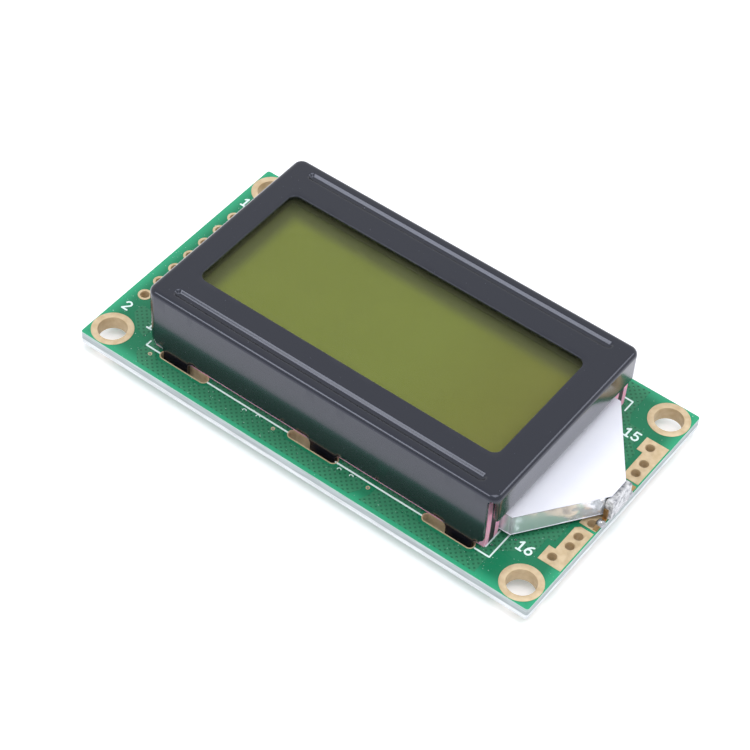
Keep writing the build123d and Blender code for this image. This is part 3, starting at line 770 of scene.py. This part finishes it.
legend = {
    "line": 0.2, "digit": 0.22, "height": 1.15, "thickness": 0.018,
    "numbers": (("2", -27.95, -10.6), ("1", -24.05, -11.1), ("14", -28.1, 9.75), ("16", 23.6, -10.45),
                ("15", 23.8, 8.85)),
    "frontY": -13.07, "backY": 13.25,
    "rows": ((-22.28, -20.44), (-13.94, -3.15), (3.06, 13.91), (20.53, 22.26)),
    "uprights": ((22.3, -13.07, -9.5), (22.3, 11.7, 13.25), (-22.3, -13.07, -12.35), (-22.3, 11.7, 13.25),
                 (21.25, -12.2, -9.7), (21.25, 9.7, 12.2)),
    "halfRings": ((-8.55, -13.6), (-6.95, -13.35), (3.9, -13.62), (5.4, -13.55)),
    "halfRingRadius": 0.2, "halfRingLine": 0.09,
}


def stroke(shape, points, width, lift):
    # a flat line of ink with round ends
    points = [Vector(p) for p in points]
    left, rightSide = [], []
    for i, point in enumerate(points):
        along = (points[min(i + 1, len(points) - 1)] - points[max(i - 1, 0)]).normalized()
        side = Vector((-along.y, along.x)) * width / 2
        left.append(point + side)
        rightSide.append(point - side)
    ahead = math.degrees(math.atan2(*(points[-1] - points[-2]).yx))
    behind = math.degrees(math.atan2(*(points[0] - points[1]).yx))
    loop = [tuple(p) for p in rightSide] + arc(points[-1], width / 2, ahead - 90, ahead + 90, 6)[1:-1]
    loop += [tuple(p) for p in reversed(left)] + arc(points[0], width / 2, behind - 90, behind + 90, 6)[1:-1]
    low = boardTop + board["maskRise"] - 0.004
    flatPlate(shape, [loop], low, low + legend["thickness"] + lift * 0.001, 0.003)


# each digit as strokes in a cell 0.62 wide and 1 high
digits = {
    "1": [[(0.08, 0.78), (0.34, 1.0)], [(0.34, 1.0), (0.34, 0.0)], [(0.1, 0.0), (0.58, 0.0)]],
    "2": [arc((0.31, 0.71), 0.28, 165, -30, 12) + [(0.05, 0.02)], [(0.05, 0.0), (0.62, 0.0)]],
    "4": [[(0.45, 0.0), (0.45, 1.0)], [(0.45, 1.0), (0.02, 0.32)], [(0.02, 0.32), (0.66, 0.32)]],
    "5": [[(0.58, 1.0), (0.12, 1.0)], [(0.12, 1.0), (0.08, 0.55)],
          [(0.08, 0.55)] + arc((0.29, 0.31), 0.3, 118, -150, 14)],
    "6": [arc((0.32, 0.3), 0.29, 0, 180, 12), arc((0.32, 0.3), 0.29, 180, 360, 12),
          [(0.53, 0.97), (0.3, 0.86), (0.1, 0.6), (0.03, 0.3)]],
}
legendShape = newShape()


def writeNumber(text, x, y):
    # lower left corner at x, y; numbers read from the front
    for i, letter in enumerate(text):
        for lift, line in enumerate(digits[letter]):
            placed = [(x + (px + i * 0.86) * legend["height"], y + py * legend["height"]) for px, py in line]
            stroke(legendShape, placed, legend["digit"], lift)


for number, x, y in legend["numbers"]:
    writeNumber(number, x, y)
# lines round the bezel, broken at the slots, and beside the light guide's tail
for start, end in legend["rows"]:
    for y in (legend["frontY"], legend["backY"]):
        stroke(legendShape, [(start, y), (end, y)], legend["line"], 0)
for x, low, high in legend["uprights"]:
    stroke(legendShape, [(x, low), (x, high)], legend["line"] * 0.85, 1)
for place in legend["halfRings"]:
    stroke(legendShape, arc(place, legend["halfRingRadius"], 200, 20, 8), legend["halfRingLine"], 2)
addPiece("printed_legend", legendShape, [legendInk])
print("legend done")


# folded bezel

bezel = {
    "sheet": 0.4, "bend": 0.6, "corner": 1.1,
    "windowLength": 38.0, "windowWidth": 16.0, "windowShift": (-0.2, -0.15), "windowCorner": 1.0,
    "roll": 0.1, "straight": 21.2,
    "longWall": 42.95, "frontShift": -0.25, "longWallGap": 0.95, "longWallChamfer": 0.65,
    "endWall": 25.2, "endWallDepth": 3.85, "endWallCorner": 0.6,
    "archDepth": 0.68, "archRise": 0.5,
    "grooveY": 11.25, "grooveLength": 39.6, "grooveWidth": 1.2, "grooveDepth": 0.3, "grooveSlope": 0.42,
    "tabWidth": 3.2, "tabRoot": 0.8, "tabPlaces": (-18.4, 1.2, 18.4), "tabTwist": 36.0,
    "rim": 0.05,
    "stripGap": 0.1,       # inner face of the long walls to the contact strips
}
bezelHalfX, bezelTop = bezelHigh[0], bezelHigh[2]
# from the strip, because the lugs reach further out than the walls
bezelHalfY = boxMm("strip_foam_outer_back")[1][1] + bezel["stripGap"] + bezel["sheet"]
longWallLow = boardTop + bezel["longWallGap"]
endWallLow = bezelTop - bezel["endWallDepth"]


def grooveDip(x, y):
    # how far the pressed grooves sink the sheet at that place
    reach = (bezel["grooveLength"] - bezel["grooveWidth"]) / 2
    away = math.hypot(max(0.0, abs(x) - reach), abs(y) - bezel["grooveY"])
    edge = bezel["grooveWidth"] / 2
    t = min(1.0, max(0.0, (edge - away) / bezel["grooveSlope"]))
    return bezel["grooveDepth"] * (0.7 * t + 0.3 * t * t * (3 - 2 * t))


def longReach(x, y):
    # how far a long wall reaches from the middle; the front one sits a little to the left
    return bezel["longWall"] / 2 + (math.copysign(1, x) * bezel["frontShift"] if y < 0 else 0.0)


def wallLow(x, y, side):
    # lower edge of the wall at a place on the outer face; side is "long", "end" or "corner"
    inCorner = abs(x) > bezelHalfX - bezel["corner"] and abs(y) > bezelHalfY - bezel["corner"]
    if side == "long" or (inCorner and abs(x) < longReach(x, y)):
        low = longWallLow + max(0.0, abs(x) - (longReach(x, y) - bezel["longWallChamfer"]))
        for tab in bezel["tabPlaces"]:
            away = abs(x - tab) - bezel["tabWidth"] / 2
            if away <= 0:
                return 0.0
            if away < bezel["tabRoot"]:
                hollow = bezel["tabRoot"] - away
                return longWallLow - bezel["tabRoot"] + math.sqrt(bezel["tabRoot"] ** 2 - hollow ** 2)
        return low
    if side == "end" or abs(y) < bezel["endWall"] / 2:
        soft = bezel["endWallCorner"]
        past = max(0.0, abs(y) - (bezel["endWall"] / 2 - soft))
        return endWallLow + soft - math.sqrt(max(0.0, soft ** 2 - past ** 2))
    return None


def longSideStations():
    # places along a long wall, close together where its edge or a groove's end changes
    reach, steps = bezel["straight"], 34
    places = {round(-reach + 2 * reach * i / steps, 3) for i in range(steps + 1)}
    turns = [math.radians(a) for a in range(9, 91, 9)]
    for tab in bezel["tabPlaces"]:
        for end in (-1, 1):
            edge = tab + end * bezel["tabWidth"] / 2
            places |= {edge - 0.002, edge + 0.002}
            places |= {edge + end * bezel["tabRoot"] * (1 - math.cos(a)) for a in turns}
    for end in (-1, 1):
        places |= {end * (19.7 + 0.065 * i) for i in range(24)}
        places |= {end * (longReach(end, y) - bezel["longWallChamfer"]) for y in (-1, 1)}
    return sorted(p for p in places if abs(p) <= reach)


def bezelStations():
    # anticlockwise: place on the outer face, outward direction, place on the window's edge, and the
    # wall's lower edge
    straightX, straightY = bezelHalfX - bezel["corner"], bezelHalfY - bezel["corner"]
    windowX = bezel["windowLength"] / 2 - bezel["windowCorner"]
    windowY = bezel["windowWidth"] / 2 - bezel["windowCorner"]
    shiftX, shiftY = bezel["windowShift"]
    longPlaces = longSideStations()
    endPlaces = [-straightY + 2 * straightY * i / 20 for i in range(21)]
    lastTurn = math.degrees(math.acos((bezel["endWall"] / 2 - straightY) / bezel["corner"]))
    stations = []
    for quarter in range(4):
        facing = -90 + 90 * quarter
        out = Vector((math.cos(math.radians(facing)), math.sin(math.radians(facing))))
        along = Vector((-out.y, out.x))
        isLong = quarter % 2 == 0
        places = longPlaces if isLong else endPlaces
        if quarter == 2:
            places = [-p for p in reversed(longPlaces)]
        sideReach, windowReach = (straightX, windowX) if isLong else (straightY, windowY)
        outReach = bezelHalfY if isLong else bezelHalfX
        windowOut = (bezel["windowWidth"] if isLong else bezel["windowLength"]) / 2
        for p in places:
            outer = along * p + out * outReach
            window = along * (p * windowReach / sideReach) + out * windowOut + Vector((shiftX, shiftY))
            low = wallLow(outer.x, outer.y, "long" if isLong else "end")
            stations.append((outer, out, window, low))
        middle = along * sideReach + out * (outReach - bezel["corner"])
        windowMiddle = along * windowReach + out * (windowOut - bezel["windowCorner"])
        windowMiddle += Vector((shiftX, shiftY))
        firstTurn = math.degrees(math.asin((longReach(middle.x, middle.y) - straightX) / bezel["corner"]))
        turns = [firstTurn * i / 4 for i in range(1, 4)] + [firstTurn - 0.1, firstTurn + 0.1]
        turns += [firstTurn + (lastTurn - firstTurn) * i / 14 for i in range(1, 14)]
        turns += [lastTurn - 0.1, lastTurn + 0.1] + [lastTurn + (90 - lastTurn) * i / 6 for i in range(1, 6)]
        for turn in (turns if isLong else [90 - t for t in reversed(turns)]):
            angle = math.radians(facing + turn)
            normal = Vector((math.cos(angle), math.sin(angle)))
            outer = middle + normal * bezel["corner"]
            low = wallLow(outer.x, outer.y, "corner")
            if low is None:
                share = (turn if isLong else 90 - turn) - (firstTurn + lastTurn) / 2
                share = min(1.0, abs(share) / ((lastTurn - firstTurn) / 2))
                low = bezelTop - bezel["archDepth"] - bezel["archRise"] * (1 - math.sqrt(1 - share ** 2))
            stations.append((outer, normal, windowMiddle + normal * bezel["windowCorner"], low))
    return stations


def bezelLoop(outer, normal, window, low):
    # one section of the folded sheet, from the window's edge over the top, down the wall and back inside
    sheet, bend, roll, rim = bezel["sheet"], bezel["bend"], bezel["roll"], bezel["rim"]
    under = bezelTop - sheet
    points = [(*window, under + 0.04), (*window, bezelTop - roll)]
    for turn in (22.5, 45, 67.5, 90):
        step = window + normal * roll * (1 - math.cos(math.radians(turn)))
        points.append((*step, bezelTop - roll * (1 - math.sin(math.radians(turn)))))
    start, end = window + normal * roll, outer - normal * bend
    shares = [0.15, 0.35, 0.5] + [0.57 + 0.0125 * i for i in range(28)] + [0.95]
    for t in shares:
        step = start.lerp(end, t)
        points.append((*step, bezelTop - grooveDip(*step)))
    for i in range(9):
        turn = math.radians(90 * i / 8)
        onFold = outer - normal * bend * (1 - math.sin(turn))
        points.append((*onFold, bezelTop - bend * (1 - math.cos(turn))))
    bendLow = bezelTop - bend
    for t in (0.2, 0.45, 0.7, 0.9):
        points.append((*outer, bendLow + (low + rim - bendLow) * t))
    points += [(*outer, low + rim), (*(outer - normal * 0.3 * rim), low + 0.3 * rim)]
    points.append((*(outer - normal * rim), low))
    inner = outer - normal * sheet
    points += [(*(inner + normal * rim), low), (*(inner + normal * 0.3 * rim), low + 0.3 * rim)]
    points.append((*inner, low + rim))
    points += [(*inner, low + (bendLow - low) * 0.5 + rim / 2), (*inner, bendLow)]
    for turn in (30, 60, 90):
        reach = (bend - sheet) * math.sin(math.radians(90 - turn))
        points.append((*(outer - normal * (bend - reach)),
                       bendLow + (bend - sheet) * math.sin(math.radians(turn))))
    for t in [0.95, 0.92] + [0.9 - 0.025 * i for i in range(14)] + [0.4, 0.2]:
        step = start.lerp(end, t)
        points.append((*step, under - grooveDip(*step)))
    points.append((*(window + normal * 0.04), under))
    return points


bezelShape = newShape()
loops = [bezelLoop(*station) for station in bezelStations()]
size = len(loops[0])
gather(bezelShape, [p for loop in loops for p in loop],
       [[i * size + j, i * size + (j + 1) % size, (i + 1) % len(loops) * size + (j + 1) % size,
         (i + 1) % len(loops) * size + j] for i in range(len(loops)) for j in range(size)])
# the twisted lugs that hold the bezel on the board
for side in (-1, 1):
    for x in bezel["tabPlaces"]:
        middle = Vector((x, side * (bezelHalfY - bezel["sheet"] / 2)))
        section = roundedRectangle((-bezel["tabWidth"] / 2, -bezel["sheet"] / 2),
                                   (bezel["tabWidth"] / 2, bezel["sheet"] / 2), 0.06, 3)
        levels = [0.3, 0.0] + [bezelLow[2] * i / 10 for i in range(1, 10)]
        levels += [bezelLow[2] + 0.05, bezelLow[2]]
        points = []
        for z in levels:
            turn = Matrix.Rotation(math.radians(bezel["tabTwist"]) * min(0.0, z) / bezelLow[2], 2)
            shrink = 0.94 if z == bezelLow[2] else 1.0
            points += [(*(middle + turn @ (Vector(p) * shrink)), z) for p in section]
        count, rows = len(section), len(levels) - 1
        faces = [[k * count + i, k * count + (i + 1) % count, (k + 1) * count + (i + 1) % count,
                  (k + 1) * count + i] for k in range(rows) for i in range(count)]
        faces += [list(range(count)), [rows * count + i for i in reversed(range(count))]]
        gather(bezelShape, points, faces)
addPiece("folded_bezel", bezelShape, [blackLacquer], ["bezel"], 35.0)
print("bezel done:", len(bezelShape["faces"]), "faces")


# contact strips

def rubberBlock(shape, low, high, cells, bulge, wander):
    # a soft block: its long faces swell a little and its skin wanders
    nx, ny, nz = cells
    points, index = [], {}
    for i in range(nx + 1):
        for j in range(ny + 1):
            for k in range(nz + 1):
                if 0 < i < nx and 0 < j < ny and 0 < k < nz:
                    continue
                share = (i / nx, j / ny, k / nz)
                spot = Vector([a + (b - a) * s for a, b, s in zip(low, high, share)])
                rise = 4 * share[2] * (1 - share[2])
                spot.y += (share[1] - 0.5) * 2 * bulge * (rise - 1)
                spot.x += (share[0] - 0.5) * 2 * 0.06 * (rise - 1)
                wave = noise.noise(Vector((spot.x * 0.8, spot.y, spot.z * 0.8)))
                spot.y += wander * wave * (0.4 + 0.6 * rise)
                index[i, j, k] = len(points)
                points.append(spot)
    faces = []
    for axis, steps in enumerate(cells):
        a, b = [n for n in range(3) if n != axis]
        for end in (0, steps):
            for i in range(cells[a]):
                for j in range(cells[b]):
                    corner = []
                    for da, db in ((0, 0), (1, 0), (1, 1), (0, 1)):
                        key = [0, 0, 0]
                        key[axis], key[a], key[b] = end, i + da, j + db
                        corner.append(index[tuple(key)])
                    faces.append(corner)
    gather(shape, points, faces)


for word in ("front", "back"):
    for layer, material, slotName in (("strip_foam_outer_", pinkRubber, "pink_silicone"),
                                      ("strip_core_", carbonRubber, "carbon_silicone"),
                                      ("strip_foam_inner_", pinkRubber, "pink_silicone")):
        low, high = boxMm(layer + word)
        shape = newShape()
        isCore = layer == "strip_core_"
        rubberBlock(shape, low, high, (64, 3, 12), 0.0 if isCore else 0.03, 0.0 if isCore else 0.03)
        addPiece(layer.replace("strip_", "contact_") + word, shape, [material], [layer + word])
print("strips done")


# glass cell

def softBox(shape, low, high, edge):
    flatPlate(shape, [[(low[0], low[1]), (high[0], low[1]), (high[0], high[1]), (low[0], high[1])]],
              low[2], high[2], edge)


apparentSink = 0.45    # the reflector shows at this depth under the rear glass's face, raised by refraction
for node, name, material, slotName, edge in (
        ("front_polariser", "front_polariser_film", polariserFilm, "polariser_film", 0.02),
        ("front_glass", "front_glass_plate", displayGlass, "display_glass", 0.06),
        ("rear_glass", "rear_glass_plate", crystalLayer, "display_glass", 0.06),
        ("rear_polariser", "rear_polariser_film", crystalLayer, "polariser_film", 0.02),
        ("diffuser_film", "diffuser_sheet", whiteFilm, "white_film", 0.02)):
    low, high = boxMm(node)
    if node == "rear_glass":
        high[2] -= apparentSink
    shape = newShape()
    softBox(shape, low, high, edge)
    addPiece(name, shape, [material], [node])
print("glass done")


# light guide's tail: the white film folded over it, with a metallised side

tail = {
    "film": 0.1, "sideFilm": 0.04, "corner": 22.5, "shoulderRound": 1.1, "tipHalf": 1.6, "gap": 0.15,
    "inset": 0.05, "tipReach": 0.42, "crumpleStart": 25.2, "crumple": 0.16,
}
guideLow, guideHigh = boxMm("light_guide")
wrapLow, wrapHigh = boxMm("reflector_wrap")


def tailSide(side, grow):
    # one side of the tail from the bezel to the tip, its shoulder rounded
    shoulder = Vector((tail["corner"], side * (guideHigh[1] + grow)))
    start = Vector((wrapLow[0], shoulder.y))
    tip = Vector((guideHigh[0], side * (tail["tipHalf"] + grow)))
    intoTip = (tip - shoulder).normalized()
    cut = tail["shoulderRound"] * 0.6
    path = [start.lerp(shoulder - Vector((cut, 0)), i / 4) for i in range(5)]
    first, second = shoulder - Vector((cut, 0)), shoulder + intoTip * cut
    for i in range(1, 8):
        t = i / 8
        path.append(first * (1 - t) ** 2 + shoulder * 2 * t * (1 - t) + second * t ** 2)
    path += [second.lerp(tip, i / 40) for i in range(41)]
    return path


def filmStrip(shape, path, low, high, thickness, steps, wobble, mark=0):
    # an upright sheet along a path, its thickness inwards; wobble gives the sideways shift of a point
    count, rows = len(path), steps + 1
    points = []
    for layer in (0, 1):
        for i, spot in enumerate(path):
            along = (path[min(i + 1, count - 1)] - path[max(i - 1, 0)]).normalized()
            out = Vector((along.y, -along.x))
            for k in range(rows):
                z = low + (high - low) * k / steps
                shift = wobble(spot, z) - thickness * layer
                placed = spot + out * shift
                points.append((placed.x, placed.y, z))
    span = count * rows
    faces = []
    for layer in (0, 1):
        for i in range(count - 1):
            for k in range(steps):
                a = layer * span + i * rows + k
                faces.append([a, a + rows, a + rows + 1, a + 1])
    for i in range(count - 1):
        for k in (0, steps):
            a = i * rows + k
            faces.append([a, a + rows, span + a + rows, span + a])
    for i in (0, count - 1):
        for k in range(steps):
            a = i * rows + k
            faces.append([a, a + 1, span + a + 1, span + a])
    gather(shape, points, faces, mark)


def crumple(spot, z):
    # grows towards the tip, where the film was pushed in by hand
    near = min(1.0, max(0.0, (spot.x - tail["crumpleStart"]) / 2.5))
    wave = noise.noise(Vector((spot.x * 1.1, spot.y * 1.1, z * 1.4)))
    return -tail["crumple"] * near * (0.5 + wave) * ((wrapHigh[2] - z) / (wrapHigh[2] - wrapLow[2])) ** 0.7


wrapShape = newShape()
outerY = guideHigh[1] + tail["film"]
tipY = tail["tipHalf"] + tail["film"]
for low, reach in ((wrapHigh[2] - tail["film"], tail["tipReach"]), (wrapLow[2], 0.0)):
    half = [(wrapLow[0], -outerY), (tail["corner"], -outerY), (guideHigh[0] + reach, -tipY + reach)]
    flatPlate(wrapShape, [half + mirrored(half, -1)], low, low + tail["film"], 0.02, 0)
sideHigh = wrapHigh[2] - tail["film"] - tail["gap"]
sideFilm = tail["film"] - tail["inset"]
for path in (tailSide(-1, sideFilm), tailSide(1, sideFilm)[::-1]):
    filmStrip(wrapShape, path, wrapLow[2], sideHigh, tail["sideFilm"], 10, crumple, 1)
addPiece("reflector_film", wrapShape, [whiteFilm, mirrorFilm], ["reflector_wrap"])
print("film done")


# lamp at the tip

lamp = {
    "cells": (6, 16, 10), "bulge": 0.05, "pull": 0.07, "ripple": 1.7,
    "solderPull": 0.05, "solderRipple": 1.5, "solderSides": 32,
}
lampLow, lampHigh = boxMm("lamp")
lampShape = newShape()
rubberBlock(lampShape, lampLow, lampHigh, lamp["cells"], lamp["bulge"], 0.0)
for i, (x, y, z) in enumerate(lampShape["points"]):
    spot = Vector((x, y, z))
    pull = lamp["pull"] * noise.noise(spot * lamp["ripple"])
    lampShape["points"][i] = (min(lampHigh[0], x + pull), y + pull * 0.5, z + pull * 0.6)
addPiece("lamp_block", lampShape, [lampEpoxy], ["lamp"], 60.0)
for side in (-1, 1):
    word = "front" if side < 0 else "back"
    low, high = boxMm("lamp_solder_" + word)
    middle = ((low[0] + high[0]) / 2, (low[1] + high[1]) / 2)
    radius, rise = (high[1] - low[1]) / 2, high[2] - low[2]
    run = [(radius, low[2]), (radius * 0.96, low[2] + rise * 0.25), (radius * 0.8, low[2] + rise * 0.6),
           (radius * 0.5, low[2] + rise * 0.9), (radius * 0.2, high[2]), (0, high[2])]
    shape = newShape()
    lathe(shape, middle, [(0, low[2])] + run, lamp["solderSides"])
    for i, (x, y, z) in enumerate(shape["points"]):
        pullX = lamp["solderPull"] * noise.noise(Vector((x, y, z)) * lamp["solderRipple"])
        pullY = lamp["solderPull"] * noise.noise(Vector((y, z, x)) * lamp["solderRipple"])
        shape["points"][i] = (min(cadHigh[0] / mm, x + pullX), y + pullY, z)
    addPiece("solder_lump_" + word, shape, [tinSolder], ["lamp_solder_" + word], 60.0)
print("lamp done")


# underside: the resin drop over the controller

drop = {"sides": 72, "skirt": 0.05, "uneven": 0.06, "ripple": 0.35, "shrink": 0.96}
blobLow, blobHigh = boxMm("controller_blob")
blobMiddle = ((blobLow[0] + blobHigh[0]) / 2, (blobLow[1] + blobHigh[1]) / 2)
blobRadius, blobDepth = (blobHigh[0] - blobLow[0]) / 2, blobHigh[2] - blobLow[2]
run = [(0, 0.0)]
for turn in [math.radians(a) for a in range(0, 90, 6)]:
    run.append((blobRadius * math.cos(turn), blobHigh[2] - blobDepth * math.sin(turn)))
run.append((0, blobLow[2]))
blobShape = newShape()
lathe(blobShape, blobMiddle, run, drop["sides"])
for i, (x, y, z) in enumerate(blobShape["points"]):
    if z <= -drop["skirt"]:
        uneven = 1 + drop["uneven"] * noise.noise(Vector((x, y, 0)) * drop["ripple"])
        blobShape["points"][i] = (x, y, z * uneven * drop["shrink"])
addPiece("resin_drop", blobShape, [globEpoxy], ["controller_blob"], 50.0)

# CAD pieces that stay, with their finish
finishes = {
    "contact_fingers_": goldPlating, "chip_resistor_": chipGlaze, "chip_capacitor": chipCeramic,
    "chip_pads": tinSolder, "lamp_lead_": leadFrame, "cell_seal": sealResin, "fill_plug": sealResin,
    "light_guide": clearAcrylic, "base_reflector": whiteFilm,
}
for name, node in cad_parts.items():
    for start, material in finishes.items():
        if name.startswith(start):
            node.data.materials.clear()
            node.data.materials.append(material)
